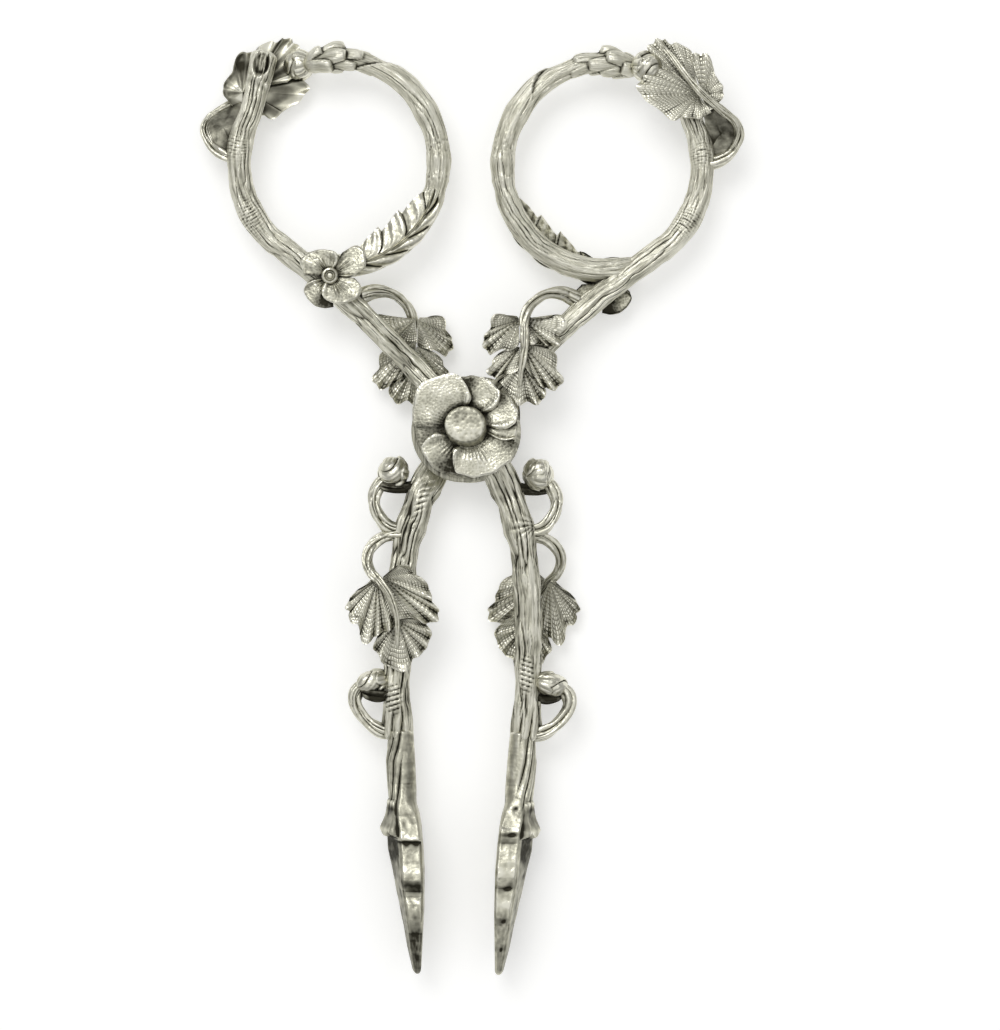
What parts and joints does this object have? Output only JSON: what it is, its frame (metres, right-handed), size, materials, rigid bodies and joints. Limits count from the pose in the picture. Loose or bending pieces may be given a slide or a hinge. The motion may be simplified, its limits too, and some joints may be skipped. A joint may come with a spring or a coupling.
{
  "type": "sugar tongs",
  "caption": "Scissor-action cast silver sugar tongs: vine-branch arms with finger rings, leaves, buds, tendrils and blossoms cross at a riveted pivot and close on leaf-shaped grips.",
  "frame": {"origin": "on the pivot axis, in the plane of the rear rivet head's flat face, which is the lowest face when the tongs lie flat", "axes": "+Y along the tongs, from the grips to the finger rings; +Z along the pivot axis, towards the front; +X across, to the right seen from the front with the rings up"},
  "size_m": [0.0728, 0.1256, 0.0098],
  "materials": {
    "silver_cast": "cast and chased silver, polished on the high points with a dark patina in the hollows",
    "silver_rivet": "hammered and worn bright silver"
  },
  "bodies": {
    "front_arm": {"front_bough": "silver_cast", "front_ring_branch": "silver_cast", "front_ring_bud": "silver_cast", "front_ring_leaf": "silver_cast", "front_ring_tendril": "silver_cast", "front_sheath_leaf": "silver_cast", "front_blossom": "silver_cast", "front_blossom_bead": "silver_cast", "front_shoulder_leaf": "silver_cast", "front_shoulder_tendril": "silver_cast", "front_upper_bud": "silver_cast", "front_upper_tendril": "silver_cast", "front_jaw_leaf": "silver_cast", "front_jaw_tendril": "silver_cast", "front_lower_bud": "silver_cast", "front_lower_tendril": "silver_cast", "front_grip": "silver_cast", "front_pivot_blossom": "silver_cast", "pivot_rivet": "silver_rivet"},
    "rear_arm": {"rear_bough": "silver_cast", "rear_ring_branch": "silver_cast", "rear_ring_bud": "silver_cast", "rear_ring_leaf": "silver_cast", "rear_ring_tendril": "silver_cast", "rear_sheath_leaf": "silver_cast", "rear_blossom": "silver_cast", "rear_blossom_bead": "silver_cast", "rear_shoulder_leaf": "silver_cast", "rear_shoulder_tendril": "silver_cast", "rear_upper_bud": "silver_cast", "rear_upper_tendril": "silver_cast", "rear_jaw_leaf": "silver_cast", "rear_jaw_tendril": "silver_cast", "rear_lower_bud": "silver_cast", "rear_lower_tendril": "silver_cast", "rear_grip": "silver_cast", "rear_pivot_blossom": "silver_cast"}
  },
  "joints": [
    {"name": "pivot", "type": "hinge", "parent": "front_arm", "child": "rear_arm", "pos_m": [0, 0, 0.0049], "axis": [0, 0, -1], "range_deg": [-7.5, 30]}
  ]
}
